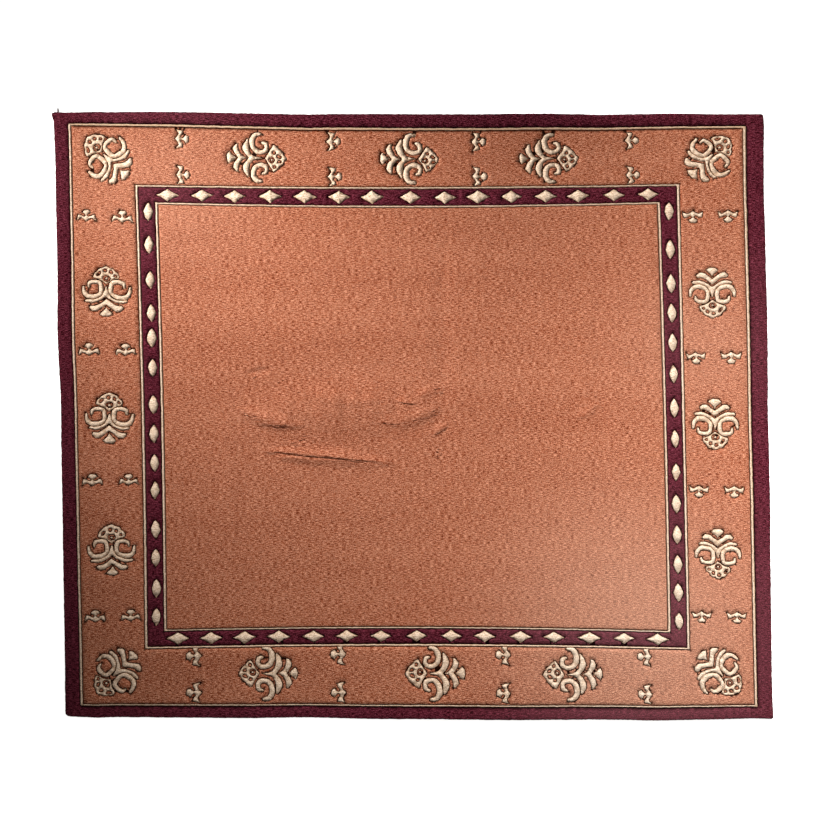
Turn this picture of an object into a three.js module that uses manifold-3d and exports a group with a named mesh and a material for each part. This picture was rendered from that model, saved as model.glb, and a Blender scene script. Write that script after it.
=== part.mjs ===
// A hand-knotted Nepalese wool rug, lying flat with its pile up. Millimetres, +Z up.
// The origin is on the floor, at the middle of the box round the rug. +X runs along its length.
import * as THREE from "three";
import { mergeVertices } from "three/addons/utils/BufferGeometryUtils.js";
import Module from "manifold-3d";

const wasm = await Module();
wasm.setup();

// Heights above the floor, and how far the cloth rounds over at its edge
const FOUNDATION_TOP = 4;
const PILE_TOP = 13;
const RELIEF = 2;
const SINK = 4;
const EDGE_ROUND = 4;

// The rug was charted square and true, U along it and V across it. Each edge and cream guard line lies at its
// charted place. lean is how far it shifts in a metre of its length, and bow how far its middle does.
const UPRIGHTS = [
  { name: "left edge", at: -1487, lean: -19.6, bow: 5 },
  { name: "left outer guard", at: -1419, lean: -20.6, bow: 0.8 },
  { name: "left band guard", at: -1146, lean: -20.8, bow: 10.8 },
  { name: "left field guard", at: -1065.5, lean: -20.3, bow: 10.9 },
  { name: "right field guard", at: 1050.5, lean: -24.5, bow: 7.5 },
  { name: "right band guard", at: 1134, lean: -22.6, bow: 1 },
  { name: "right outer guard", at: 1414.5, lean: -20.8, bow: 0.6 },
  { name: "right edge", at: 1489, lean: -16, bow: 4.5 },
];
const LEVELS = [
  { name: "near edge", at: -1271, lean: -4.2, bow: -5 },
  { name: "near outer guard", at: -1218.5, lean: -2.8, bow: -0.8 },
  { name: "near band guard", at: -986, lean: -1.4, bow: 22 },
  { name: "near field guard", at: -917.5, lean: -2.6, bow: 27 },
  { name: "far field guard", at: 905, lean: 0.9, bow: -27 },
  { name: "far band guard", at: 973, lean: 1.8, bow: -16 },
  { name: "far outer guard", at: 1221, lean: -4.5, bow: -16.5 },
  { name: "far edge", at: 1273, lean: -3.3, bow: -5 },
];
const [LEFT, RIGHT, NEAR, FAR] = [UPRIGHTS[0].at, UPRIGHTS[7].at, LEVELS[0].at, LEVELS[7].at];
const LENGTH = RIGHT - LEFT;
const WIDTH = FAR - NEAR;
const METRE = 1000;
const GUARD_RINGS = [1, 2, 3];
const GUARD_WIDE = { upright: 11.5, level: 7.5 };
const RING_STEP = { edge: 120, guard: 330 };

// cut is how much is off each corner, and pull how far it was dragged out to its side
const CORNERS = [
  { name: "far right", u: RIGHT, v: FAR, cut: 6, pull: 0 },
  { name: "far left", u: LEFT, v: FAR, cut: 4, pull: 2 },
  { name: "near left", u: LEFT, v: NEAR, cut: 14, pull: 0 },
  { name: "near right", u: RIGHT, v: NEAR, cut: 7, pull: 6 },
];
const PULL_REACH = 60;

// The small ripples along its edges, which die away inwards. at is where one lies along its edge, shift
// how far it moves the edge towards +U or +V, and long how far it reaches each way.
const RIPPLES = [
  { edge: "left", at: -950, shift: 1, long: 120 },
  { edge: "left", at: 30, shift: 2, long: 110 },
  { edge: "left", at: 350, shift: -6, long: 160 },
  { edge: "left", at: 1050, shift: 2, long: 110 },
  { edge: "right", at: -370, shift: 2, long: 80 },
  { edge: "right", at: 0, shift: -2.5, long: 110 },
  { edge: "right", at: 390, shift: 2, long: 170 },
  { edge: "right", at: 920, shift: -2.5, long: 80 },
  { edge: "right", at: 1210, shift: 4, long: 80 },
  { edge: "near", at: -1360, shift: -3, long: 60 },
  { edge: "near", at: -470, shift: 5, long: 170 },
  { edge: "near", at: 380, shift: -2.5, long: 180 },
  { edge: "near", at: 1000, shift: -4, long: 110 },
  { edge: "near", at: 1390, shift: 4.5, long: 120 },
  { edge: "far", at: -1450, shift: -3, long: 80 },
  { edge: "far", at: -980, shift: 3.5, long: 220 },
  { edge: "far", at: -430, shift: -3.5, long: 130 },
  { edge: "far", at: 550, shift: 3, long: 150 },
  { edge: "far", at: 820, shift: -2.5, long: 70 },
  { edge: "far", at: 1120, shift: 2.5, long: 110 },
];
const RIPPLE_REACH = 120;

// A palmette, head towards +V: a lotus blossom with an eye, two cloud scrolls, a stem with two pairs of leaves,
// and a fan. fullness is 1 for a dome with straight flanks and 2 for a half-round one.
const SIDE_PALMETTE = {
  blossom: { middle: 52, wide: 53, tall: 48, fullness: 1.6, bulge: 1.06, tip: 25, shoulder: 30, rise: 45 },
  eye: { x: 0, y: 50, wide: 33, tall: 27 },
  scroll: [
    { x: 73, y: 16, wide: 8 },
    { x: 66, y: 29, wide: 13 },
    { x: 47, y: 34, wide: 14 },
    { x: 28, y: 27, wide: 14 },
    { x: 20, y: 8, wide: 15 },
    { x: 26, y: -15, wide: 16 },
    { x: 46, y: -28, wide: 17 },
    { x: 71, y: -27, wide: 17 },
    { x: 88, y: -12, wide: 15 },
    { x: 94, y: 10, wide: 10 },
  ],
  upperLeaves: [
    { x: 2, y: 15 },
    { x: 12, y: -14 },
    { x: 26, y: -29 },
    { x: 48, y: -40 },
    { x: 80, y: -42 },
    { x: 78, y: -53 },
    { x: 38, y: -51 },
    { x: 0, y: -28 },
  ],
  lowerLeaves: [
    { x: 0, y: -38 },
    { x: 22, y: -55 },
    { x: 61, y: -67 },
    { x: 46, y: -90 },
    { x: 0, y: -62 },
  ],
  fan: [
    { x: 0, y: -70 },
    { x: 19, y: -93 },
    { x: 26, y: -101 },
    { x: 0, y: -110 },
  ],
};
const END_PALMETTE = {
  blossom: { middle: 50, wide: 53, tall: 51, fullness: 1.25, bulge: 1.03, tip: 15, shoulder: 34, rise: 38 },
  eye: { x: 6, y: 43, wide: 27, tall: 27 },
  scroll: [
    { x: 66, y: 4, wide: 8 },
    { x: 58, y: 17, wide: 15 },
    { x: 41, y: 20, wide: 16 },
    { x: 29, y: 6, wide: 16 },
    { x: 31, y: -15, wide: 17 },
    { x: 48, y: -33, wide: 19 },
    { x: 73, y: -35, wide: 20 },
    { x: 93, y: -22, wide: 17 },
    { x: 99, y: 0, wide: 11 },
  ],
  upperLeaves: [
    { x: 1, y: 4 },
    { x: 11, y: -36 },
    { x: 27, y: -48 },
    { x: 79, y: -53 },
    { x: 62, y: -74 },
    { x: 33, y: -78 },
    { x: 0, y: -52 },
  ],
  lowerLeaves: [
    { x: 0, y: -60 },
    { x: 9, y: -79 },
    { x: 24, y: -90 },
    { x: 60, y: -97 },
    { x: 38, y: -121 },
    { x: 0, y: -98 },
  ],
  fan: [
    { x: 0, y: -106 },
    { x: 18, y: -129 },
    { x: 24, y: -136 },
    { x: 0, y: -146 },
  ],
};
const LOBES = 5;
const SCROLL_STEPS = 7;

// The small sprig, head towards +V: a pair of spread wings with a fan on a thin neck
const SPRIG = [
  { x: 0, y: -26 },
  { x: 25, y: -14 },
  { x: 41, y: -22 },
  { x: 36, y: -2 },
  { x: 24, y: 1 },
  { x: 9, y: -6 },
  { x: 3, y: -1 },
  { x: 18, y: 11 },
  { x: 0, y: 23 },
];

// Where the motifs lie in the border, turned to follow each other clockwise. turn is in degrees from +V.
const BORDER = { far: 1094, right: 1267, near: -1095, left: -1283 };
const SIDE_PALMETTES = [
  { name: "right side, far", u: BORDER.right, v: 516, turn: 180, long: 1, wide: 1 },
  { name: "right side, middle", u: BORDER.right, v: -40, turn: 180, long: 1, wide: 1 },
  { name: "right side, near", u: BORDER.right, v: -588, turn: 180, long: 1, wide: 1 },
  { name: "left side, near", u: BORDER.left, v: -567, turn: 0, long: 1, wide: 1 },
  { name: "left side, middle", u: BORDER.left, v: -7, turn: 0, long: 1, wide: 1 },
  { name: "left side, far", u: BORDER.left, v: 531, turn: 0, long: 1, wide: 1 },
  { name: "far left corner", u: -1269, v: BORDER.far - 4, turn: 45, long: 1.08, wide: 1.02 },
  { name: "far right corner", u: 1273, v: BORDER.far, turn: -45, long: 1.08, wide: 1.02 },
  { name: "near right corner", u: 1267, v: BORDER.near + 10, turn: -135, long: 1.08, wide: 1.02 },
  { name: "near left corner", u: -1276, v: BORDER.near + 4, turn: 135, long: 1.08, wide: 1.02 },
];
const END_PALMETTES = [
  { name: "far, left", u: -617, v: BORDER.far, turn: -90, long: 1, wide: 1 },
  { name: "far, middle", u: 29, v: BORDER.far, turn: -90, long: 1, wide: 1 },
  { name: "far, right", u: 615, v: BORDER.far, turn: -90, long: 1, wide: 1 },
  { name: "near, right", u: 621, v: BORDER.near, turn: 90, long: 1, wide: 1 },
  { name: "near, middle", u: 44, v: BORDER.near, turn: 90, long: 1, wide: 1 },
  { name: "near, left", u: -656, v: BORDER.near, turn: 90, long: 1, wide: 1 },
];
const SPRIG_APART = 74;
const SPRIG_PAIRS = [
  { run: "far", turn: -90, long: 1.25, wide: 0.95, at: [-948, -308, 302, 946] },
  { run: "right", turn: 180, long: 1, wide: 1, at: [840, 243, -322, -852] },
  { run: "near", turn: 90, long: 1.25, wide: 0.95, at: [944, 349, -343, -950] },
  { run: "left", turn: 0, long: 1, wide: 1, at: [-849, -271, 281, 847] },
];

// The cream diamonds in the middle of the inner band: their tips run along it
const DIAMOND = { along: 94, across: 47 };
const SIDE_DIAMOND = { along: 78, across: 41 };
const BAND = { far: 939, right: 1094, near: -950, left: -1102 };
const DIAMOND_RUNS = [
  { run: "far", at: [-1017, -872, -737, -587, -441, -296, -156, 4, 150, 290, 431, 576, 712, 862, 1008] },
  { run: "near", at: [-1013, -873, -733, -589, -444, -305, -160, -10, 135, 275, 425, 565, 715, 860, 1000] },
  { run: "left", at: [869, 728, 577, 436, 330, 204, 48, -78, -203, -319, -485, -606, -737, -858] },
  { run: "right", at: [868, 707, 561, 436, 310, 179, 34, -97, -238, -373, -504, -630, -750, -871] },
];

// The folds left in the field, in place on the floor. A crest runs from x0, y0 to x1, y1, with its middle
// bowed to its left. left and right are the widths of its two flanks.
const SWELL = { x0: -760, y0: 12, x1: 230, y1: 42, bow: 8, high: 14, left: 175, right: 160 };
const CREASES = [
  { name: "long crease", x0: -650, y0: -141, x1: -40, y1: -204, bow: 4, high: 12, left: 58, right: 16 },
  { name: "upper crease", x0: -750, y0: 34, x1: -455, y1: -44, bow: -14, high: 9, left: 62, right: 16 },
  { name: "outer wrinkle", x0: -600, y0: 170, x1: -100, y1: 66, bow: -50, high: 5, left: 60, right: 30 },
  { name: "middle crease", x0: -155, y0: -22, x1: 122, y1: 42, bow: -27, high: 6, left: 48, right: 18 },
  { name: "end crease", x0: 66, y0: -88, x1: 152, y1: -34, bow: 0, high: 7, left: 36, right: 16 },
  { name: "nick", x0: -80, y0: 62, x1: 24, y1: 48, bow: -3, high: 5, left: 30, right: 14 },
  { name: "faint crease", x0: 0, y0: 76, x1: 150, y1: 128, bow: 0, high: 4, left: 34, right: 28 },
  { name: "lone crease", x0: 676, y0: -16, x1: 796, y1: 62, bow: -6, high: 6, left: 32, right: 20 },
];
const FOLD_CELL = { swell: 90, crease: 55 };
const ACROSS = { swell: 6, crease: 4 };
const FOLD_NARROW = 0.3;
const FOLD_SINK = { swell: 0.3, crease: 0.8 };
const HOLLOW_FROM = 8;
const HOLLOW_GAP = 0.8;
const HOLLOW_BELOW = -5;

// Straight lines left from storage, flattest at their ends. wide is from the middle line to the edge.
const FOLD_LINES = [
  { name: "middle fold line", kind: "groove", x0: 128, y0: 920, x1: 117, y1: -480, high: 3.5, wide: 75 },
  { name: "right fold line", kind: "groove", x0: 776, y0: 930, x1: 790, y1: -930, high: 3.5, wide: 60 },
  { name: "left fold line", kind: "ridge", x0: -782, y0: 330, x1: -766, y1: -930, high: 3, wide: 60 },
];

// How far the cloth shifts at a place between two lines: at is its place across them, along the one along
function shiftOf(lines, at, along, length) {
  const next = Math.max(1, lines.findIndex((line) => line.at >= at));
  const [before, after] = [lines[next - 1], lines[next]];
  const share = (at - before.at) / (after.at - before.at);
  const lean = THREE.MathUtils.lerp(before.lean, after.lean, share);
  const bow = THREE.MathUtils.lerp(before.bow, after.bow, share);
  return (lean * along) / METRE + bow * Math.cos((Math.PI * along) / length);
}

// How far the ripples of one edge shift a place so far along it, at a distance in from it
function rippleOf(edge, along, inset) {
  const rows = RIPPLES.filter((row) => row.edge === edge);
  const shift = rows.reduce((sum, row) => sum + row.shift * Math.exp(-(((along - row.at) / row.long) ** 2)), 0);
  return shift * Math.exp(-inset / RIPPLE_REACH);
}

// Moves a charted point to where it lies on the floor
function lay(chartedU, chartedV) {
  const u = THREE.MathUtils.clamp(chartedU, LEFT, RIGHT);
  const v = THREE.MathUtils.clamp(chartedV, NEAR, FAR);
  const rippleU = rippleOf("left", v, u - LEFT) + rippleOf("right", v, RIGHT - u);
  const rippleV = rippleOf("near", u, v - NEAR) + rippleOf("far", u, FAR - v);
  const pull = CORNERS.reduce((sum, row) => {
    const away = Math.hypot(u - row.u, v - row.v);
    return sum + Math.sign(row.u) * row.pull * Math.exp(-away / PULL_REACH);
  }, 0);
  return {
    x: u + shiftOf(UPRIGHTS, u, v, WIDTH) + rippleU + pull,
    y: v + shiftOf(LEVELS, v, u, LENGTH) + rippleV,
  };
}

function solidOf(geometry) {
  geometry.deleteAttribute("normal");
  geometry.deleteAttribute("uv");
  const merged = mergeVertices(geometry);
  const vertProperties = new Float32Array(merged.attributes.position.array);
  const triVerts = new Uint32Array(merged.index.array);
  return new wasm.Manifold(new wasm.Mesh({ numProp: 3, vertProperties, triVerts }));
}

// Lays a charted geometry on the floor, each point by itself
function laidSolid(geometry) {
  const points = geometry.attributes.position;
  for (let i = 0; i < points.count; i++) {
    const { x, y } = lay(points.getX(i), points.getY(i));
    points.setXY(i, x, y);
  }
  return solidOf(geometry);
}

// A charted rectangle on the lines of one ring, cut into steps so that it can bow. The rings are counted
// from the edge, and out says how far outside its lines the rectangle lies.
function ringLoop(ring, outU, outV, step, cuts = [0, 0, 0, 0]) {
  const [left, right] = [UPRIGHTS[ring].at - outU, UPRIGHTS[7 - ring].at + outU];
  const [near, far] = [LEVELS[ring].at - outV, LEVELS[7 - ring].at + outV];
  const corners = [
    new THREE.Vector2(right, far),
    new THREE.Vector2(left, far),
    new THREE.Vector2(left, near),
    new THREE.Vector2(right, near),
  ];
  return corners.flatMap((corner, i) => {
    const next = corners[(i + 1) % 4];
    const length = corner.distanceTo(next);
    const first = corner.clone().lerp(next, cuts[i] / length);
    const last = next.clone().lerp(corner, cuts[(i + 1) % 4] / length);
    const steps = Math.round(length / step);
    const count = cuts[(i + 1) % 4] ? steps + 1 : steps;
    return Array.from({ length: count }, (_, k) => first.clone().lerp(last, k / steps));
  });
}

// The cloth before its folds: pile and foundation in one, flat below and rounded over at its overcast edge
function sheet() {
  const cuts = CORNERS.map((row) => row.cut);
  const edge = new THREE.Shape(ringLoop(0, -EDGE_ROUND, -EDGE_ROUND, RING_STEP.edge, cuts));
  const cloth = new THREE.ExtrudeGeometry(edge, {
    depth: PILE_TOP - 2 * EDGE_ROUND,
    bevelThickness: EDGE_ROUND,
    bevelSize: EDGE_ROUND,
    bevelSegments: 1,
  });
  cloth.translate(0, 0, EDGE_ROUND);
  return laidSolid(cloth);
}

// Raises a charted outline above the pile
function raised(shape, place = new THREE.Matrix4()) {
  const geometry = new THREE.ExtrudeGeometry(shape, {
    depth: RELIEF + SINK,
    bevelEnabled: false,
    curveSegments: 3,
  });
  geometry.translate(0, 0, PILE_TOP - SINK);
  geometry.applyMatrix4(place);
  return laidSolid(geometry);
}

function guardLine(ring) {
  const { upright, level } = GUARD_WIDE;
  const line = new THREE.Shape(ringLoop(ring, upright / 2, level / 2, RING_STEP.guard));
  line.holes.push(new THREE.Path(ringLoop(ring, -upright / 2, -level / 2, RING_STEP.guard)));
  return raised(line);
}

const mirrored = (rows) => rows.map((row) => ({ ...row, x: -row.x }));
const vectors = (rows) => rows.map(({ x, y }) => new THREE.Vector2(x, y));

// An outline that is the same on both sides of the line x = 0, from one half of it
function bothSides(rows) {
  const back = mirrored(rows).reverse().filter(({ x }) => x < 0);
  return new THREE.Shape(vectors([...rows, ...back]));
}

// A carved stroke along a smooth line through the rows, as wide at each as it says
function stroke(rows, steps) {
  const route = new THREE.CatmullRomCurve3(rows.map(({ x, y, wide }) => new THREE.Vector3(x, y, wide)));
  const left = [];
  const right = [];
  for (let i = 0; i <= steps; i++) {
    const here = route.getPoint(i / steps);
    const ahead = route.getTangent(i / steps);
    const across = new THREE.Vector2(-ahead.y, ahead.x).setLength(here.z / 2);
    left.push(new THREE.Vector2(here.x, here.y).add(across));
    right.unshift(new THREE.Vector2(here.x, here.y).sub(across));
  }
  return new THREE.Shape([...left, ...right]);
}

// The lotus blossom: a scalloped dome on a pointed base, with one eye
function blossom({ middle, wide, tall, fullness, bulge, tip, shoulder, rise }, eye) {
  const rimPoint = (angle, out) => {
    const [x, y] = [Math.cos(angle), Math.sin(angle)];
    const round = (Math.abs(x) ** fullness + Math.abs(y) ** fullness) ** (-1 / fullness);
    return [out * round * wide * x, middle + out * round * tall * y];
  };
  const shape = new THREE.Shape();
  shape.moveTo(0, tip);
  shape.lineTo(shoulder, rise);
  shape.lineTo(...rimPoint(0, 1));
  for (let lobe = 0; lobe < LOBES; lobe++) {
    const middleAngle = (Math.PI * (lobe + 0.5)) / LOBES;
    const endAngle = (Math.PI * (lobe + 1)) / LOBES;
    shape.lineTo(...rimPoint(middleAngle, bulge));
    shape.lineTo(...rimPoint(endAngle, 1));
  }
  shape.lineTo(-shoulder, rise);
  const hole = new THREE.Path();
  hole.absellipse(eye.x, eye.y, eye.wide / 2, eye.tall / 2, 0, 2 * Math.PI);
  shape.holes.push(hole);
  return shape;
}

function placed({ u, v, turn, long, wide }) {
  const place = new THREE.Matrix4().makeRotationZ(THREE.MathUtils.degToRad(turn));
  place.setPosition(u, v, 0);
  return place.scale(new THREE.Vector3(wide, long, 1));
}

const palmetteShapes = (design) => [
  blossom(design.blossom, design.eye),
  stroke(design.scroll, SCROLL_STEPS),
  stroke(mirrored(design.scroll), SCROLL_STEPS),
  bothSides(design.upperLeaves),
  bothSides(design.lowerLeaves),
  bothSides(design.fan),
];

function palmettesOf(design, rows) {
  const shapes = palmetteShapes(design);
  return rows.flatMap((row) => shapes.map((shape) => raised(shape, placed(row))));
}

const palmettes = () => [
  ...palmettesOf(SIDE_PALMETTE, SIDE_PALMETTES),
  ...palmettesOf(END_PALMETTE, END_PALMETTES),
];

// A place so far along one run of the border or the inner band. across is measured from its middle.
function runPlace(run, middles, along, across) {
  const atEnd = run === "far" || run === "near";
  const middle = middles[run] + across;
  return atEnd ? { u: along, v: middle } : { u: middle, v: along };
}

function sprigs() {
  const shape = bothSides(SPRIG);
  return SPRIG_PAIRS.flatMap(({ run, turn, long, wide, at }) =>
    at.flatMap((along) =>
      [-SPRIG_APART, SPRIG_APART].map((across) =>
        raised(shape, placed({ ...runPlace(run, BORDER, along, across), turn, long, wide })),
      ),
    ),
  );
}

function diamonds() {
  return DIAMOND_RUNS.flatMap(({ run, at }) => {
    const atEnd = run === "far" || run === "near";
    const { along, across } = atEnd ? DIAMOND : SIDE_DIAMOND;
    const shape = bothSides([
      { x: 0, y: -along / 2 },
      { x: across / 2, y: 0 },
      { x: 0, y: along / 2 },
    ]);
    const turn = atEnd ? 90 : 0;
    const rows = at.map((place) => ({ ...runPlace(run, BAND, place, 0), turn, long: 1, wide: 1 }));
    return rows.map((row) => raised(shape, placed(row)));
  });
}

// How far along a fold a place on the floor is, from 0 to 1, and how far it lies to the left of its crest
function placeOn({ x0, y0, x1, y1, bow }, x, y) {
  const run = new THREE.Vector2(x1 - x0, y1 - y0);
  const from = new THREE.Vector2(x - x0, y - y0);
  const share = THREE.MathUtils.clamp(from.dot(run) / run.lengthSq(), 0, 1);
  return { share, off: run.cross(from) / run.length() - bow * Math.sin(Math.PI * share) };
}

// A fold is widest and highest at its middle and narrow at its ends
function widthOf(fold, share, side) {
  return fold[side] * THREE.MathUtils.lerp(FOLD_NARROW, 1, Math.sin(Math.PI * share));
}

// How high a fold lifts the cloth at a place on the floor
function liftOf(fold, x, y) {
  const { share, off } = placeOn(fold, x, y);
  const flank = Math.min(1, Math.abs(off) / widthOf(fold, share, off > 0 ? "left" : "right"));
  return fold.high * Math.sin(Math.PI * share) * Math.cos((Math.PI * flank) / 2) ** 2;
}

// A block that follows a fold from end to end and flank to flank. Its underside is level and its top
// follows the swell and the fold itself, raised by some height.
function foldBlock(fold, low, raise) {
  const { x0, y0, x1, y1, bow } = fold;
  const kind = fold === SWELL ? "swell" : "crease";
  const run = new THREE.Vector2(x1 - x0, y1 - y0);
  const across = new THREE.Vector2(-run.y, run.x).normalize();
  const block = new THREE.BoxGeometry(1, 2, 1, Math.ceil(run.length() / FOLD_CELL[kind]), ACROSS[kind], 1);
  const topAt = (x, y) => liftOf(SWELL, x, y) + (fold === SWELL ? 0 : liftOf(fold, x, y)) - FOLD_SINK[kind];
  const points = block.attributes.position;
  for (let i = 0; i < points.count; i++) {
    const share = points.getX(i) + 0.5;
    const flank = points.getY(i);
    const off = flank * widthOf(fold, share, flank > 0 ? "left" : "right") + bow * Math.sin(Math.PI * share);
    const { x, y } = new THREE.Vector2(x0, y0).addScaledVector(run, share).addScaledVector(across, off);
    points.setXYZ(i, x, y, points.getZ(i) > 0 ? raise + topAt(x, y) : low);
  }
  return solidOf(block);
}

// A fold line is a long flat rhomb in the top of the pile, to add or to cut
function foldLine({ x0, y0, x1, y1, high, wide }) {
  const rhomb = new THREE.OctahedronGeometry(1);
  rhomb.scale(Math.hypot(x1 - x0, y1 - y0) / 2, wide, high);
  rhomb.rotateZ(Math.atan2(y1 - y0, x1 - x0));
  rhomb.translate((x0 + x1) / 2, (y0 + y1) / 2, PILE_TOP);
  return solidOf(rhomb);
}

// The cloth with its folds. It is lifted off the floor under the higher ones.
function folded(flat) {
  const cloth = FOLD_LINES.reduce(
    (solid, line) => (line.kind === "ridge" ? solid.add(foldLine(line)) : solid.subtract(foldLine(line))),
    flat,
  );
  const folds = [SWELL, ...CREASES];
  const tops = folds.map((fold) => foldBlock(fold, FOUNDATION_TOP, PILE_TOP));
  const high = folds.filter((fold) => fold.high >= HOLLOW_FROM);
  const hollows = high.map((fold) => foldBlock(fold, HOLLOW_BELOW, -HOLLOW_GAP));
  return wasm.Manifold.union([cloth, ...tops]).subtract(wasm.Manifold.union(hollows));
}

function rug() {
  const relief = [...GUARD_RINGS.map(guardLine), ...palmettes(), ...sprigs(), ...diamonds()];
  const solid = wasm.Manifold.union([folded(sheet()), ...relief]);
  const { min, max } = solid.boundingBox();
  return solid.translate([-(min[0] + max[0]) / 2, -(min[1] + max[1]) / 2, -min[2]]);
}

const mesh = rug().getMesh();
const geometry = new THREE.BufferGeometry();
geometry.setAttribute("position", new THREE.BufferAttribute(mesh.vertProperties, 3));
geometry.setIndex(new THREE.BufferAttribute(mesh.triVerts, 1));
geometry.computeVertexNormals();

const wool = new THREE.MeshStandardMaterial({ color: 0xc07a58, roughness: 0.95, metalness: 0 });
const piece = new THREE.Mesh(geometry, wool);
piece.name = "rug";

const model = new THREE.Group();
model.add(piece);
export default model;
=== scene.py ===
"""A hand-knotted Nepalese wool rug, lying flat with its pile up, seen from straight above.

Everything is in metres in the frame of the CAD model. The tables give the rug's own sizes in millimetres.
"""

import math
import random
from collections import namedtuple

import bmesh
import bpy
import numpy as np
from mathutils import Matrix, Vector, kdtree, noise
from mathutils.geometry import delaunay_2d_cdt


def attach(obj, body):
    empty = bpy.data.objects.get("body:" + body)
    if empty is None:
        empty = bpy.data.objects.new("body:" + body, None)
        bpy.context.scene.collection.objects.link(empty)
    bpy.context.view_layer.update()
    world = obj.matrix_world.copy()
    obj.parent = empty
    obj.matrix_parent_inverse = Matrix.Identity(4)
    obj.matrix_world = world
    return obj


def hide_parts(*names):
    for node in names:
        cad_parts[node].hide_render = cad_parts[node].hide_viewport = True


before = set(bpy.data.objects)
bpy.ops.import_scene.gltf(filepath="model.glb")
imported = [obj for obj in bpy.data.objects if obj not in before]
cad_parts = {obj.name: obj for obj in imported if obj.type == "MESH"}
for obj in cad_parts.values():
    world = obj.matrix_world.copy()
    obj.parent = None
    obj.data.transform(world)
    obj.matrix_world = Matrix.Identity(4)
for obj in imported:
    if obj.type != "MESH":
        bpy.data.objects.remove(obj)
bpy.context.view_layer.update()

# ---- Camera, floor and lights -----------------------------------------------------------------------
# The photograph looks straight down from so far away that none of the rug's sides shows. Three soft lamps,
# one beyond the far left corner, one beyond the far edge and one beyond the right end, rake across the pile,
# and a light table leaves no shadow on the white floor.
MM = 0.001
CAMERA_HIGH = 9.0
CAMERA_OVER = (0.028, -0.016)
VIEW_WIDE = 3.528
VIEW_LEVEL = 0.013
SENSOR = 36.0
camera_data = bpy.data.cameras.new("camera")
camera_data.sensor_width = SENSOR
camera_data.lens = SENSOR * (CAMERA_HIGH - VIEW_LEVEL) / VIEW_WIDE
camera = bpy.data.objects.new("camera", camera_data)
camera.location = (*CAMERA_OVER, CAMERA_HIGH)
scene = bpy.context.scene
scene.collection.objects.link(camera)
scene.camera = camera
scene.view_settings.view_transform = "Standard"


def linear(code):
    """The linear colour of an sRGB hex code such as "c07a58", with full alpha."""
    parts = [int(code[i : i + 2], 16) / 255 for i in (0, 2, 4)]
    return (*[c / 12.92 if c <= 0.04045 else ((c + 0.055) / 1.055) ** 2.4 for c in parts], 1.0)


def add(tree, kind, links=(), **settings):
    """Adds a shader node. links pairs an input with the node or socket it reads. inputs sets the others."""
    node = tree.nodes.new("ShaderNode" + kind)
    inputs = settings.pop("inputs", {})
    for name, value in settings.items():
        setattr(node, name, value)
    for key, value in inputs.items():
        node.inputs[key].default_value = value
    for key, source in links:
        tree.links.new(getattr(source, "outputs", [source])[0], node.inputs[key])
    return node


def matt(name, roughness, specular):
    """Starts a material that is matt, with how rough it is and how much light its surface throws back."""
    material = bpy.data.materials.new(name)
    material.use_nodes = True
    surface = material.node_tree.nodes["Principled BSDF"]
    surface.inputs["Roughness"].default_value = roughness
    surface.inputs["Specular IOR Level"].default_value = specular
    return material, material.node_tree, surface


FLOOR_WIDE = 14.0
FLOOR_COLOUR = linear("f7f6f4")
FLOOR_GLOW = 1.0
SKY_STRENGTH = 0.13
floor_mesh = bpy.data.meshes.new("floor")
floor_shape = bmesh.new()
bmesh.ops.create_grid(floor_shape, x_segments=1, y_segments=1, size=FLOOR_WIDE / 2)
floor_shape.to_mesh(floor_mesh)
floor_shape.free()
floor = bpy.data.objects.new("floor", floor_mesh)
scene.collection.objects.link(floor)
paper, _, paper_surface = matt("matt paper on a light table", roughness=0.9, specular=0.1)
paper_surface.inputs["Base Color"].default_value = FLOOR_COLOUR
paper_surface.inputs["Emission Color"].default_value = FLOOR_COLOUR
paper_surface.inputs["Emission Strength"].default_value = FLOOR_GLOW
floor_mesh.materials.append(paper)

# Where each lamp hangs and aims, in metres, with the side of its square face, the angle that its grid leaves
# open, in degrees, and its power in watts
Lamp = namedtuple("Lamp", "name x y z aim_x aim_y wide spread power")
LAMPS = [
    Lamp("far left lamp", -2.44, 1.55, 1.57, 1.47, 0, 0.4, 90, 52),
    Lamp("far lamp", 1.0, 2.26, 0.91, 2.3, 1.0, 0.3, 121, 14),
    Lamp("right lamp", 2.73, 1.2, 2.59, 1.33, -2.6, 0.4, 108, 82),
]
for lamp in LAMPS:
    light = bpy.data.lights.new(lamp.name, "AREA")
    light.size = lamp.wide
    light.spread = math.radians(lamp.spread)
    light.energy = lamp.power
    holder = bpy.data.objects.new(lamp.name, light)
    holder.location = (lamp.x, lamp.y, lamp.z)
    aim = Vector((lamp.aim_x, lamp.aim_y, 0)) - holder.location
    holder.rotation_euler = aim.to_track_quat("-Z", "Y").to_euler()
    holder.visible_camera = False
    scene.collection.objects.link(holder)
sky = bpy.data.worlds.new("studio")
sky.use_nodes = True
sky.node_tree.nodes["Background"].inputs["Color"].default_value = linear("ffffff")
sky.node_tree.nodes["Background"].inputs["Strength"].default_value = SKY_STRENGTH
scene.world = sky

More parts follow.
